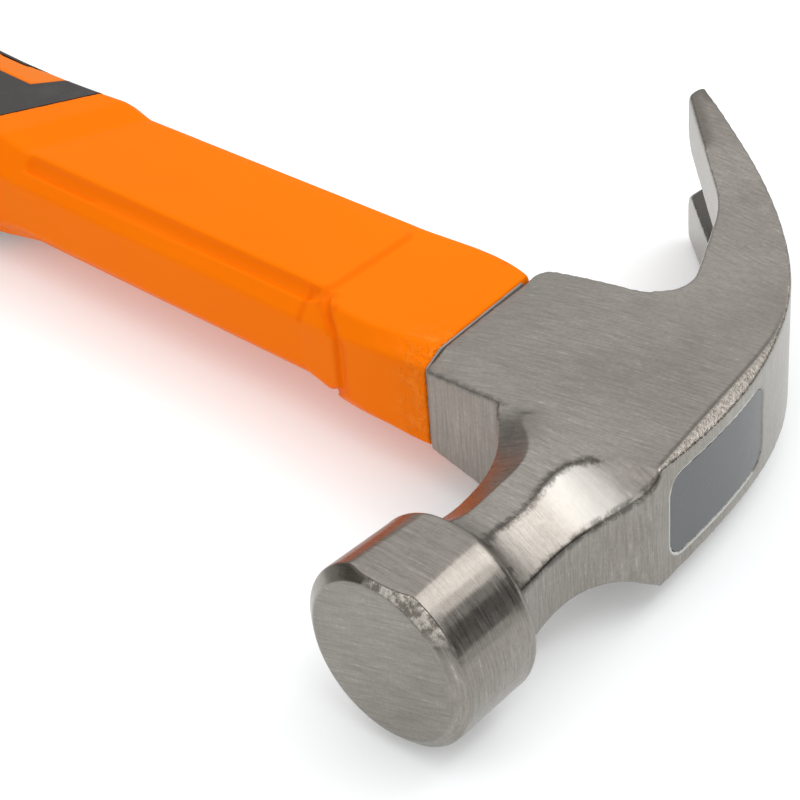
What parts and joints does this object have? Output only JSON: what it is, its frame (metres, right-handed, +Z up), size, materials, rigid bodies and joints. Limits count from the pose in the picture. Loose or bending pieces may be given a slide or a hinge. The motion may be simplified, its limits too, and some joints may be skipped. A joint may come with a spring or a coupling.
{
  "type": "claw hammer",
  "caption": "Claw hammer with a forged steel head, flared octagonal neck, slotted claw and a two-colour moulded handle on a glass-fibre core.",
  "frame": {"origin": "bottom centre of the box round the hammer lying on its side", "axes": "+Y along the handle from the head to the butt, +X along the head from the striking face to the claw, +Z up through the hammer's thickness"},
  "size_m": [0.12, 0.3314, 0.0286],
  "materials": {
    "forged_steel": "ground and brushed, lightly oiled",
    "glass_fibre": "pultruded rod, sawn end",
    "epoxy": "cast, slightly dull",
    "orange_plastic": "moulded polypropylene, satin to gloss",
    "black_rubber": "moulded soft elastomer, matt"
  },
  "bodies": {
    "root": {"head": "forged_steel", "fibreglass_core": "glass_fibre", "epoxy_fill": "epoxy", "handle_jacket": "orange_plastic", "grip": "black_rubber"}
  },
  "joints": []
}
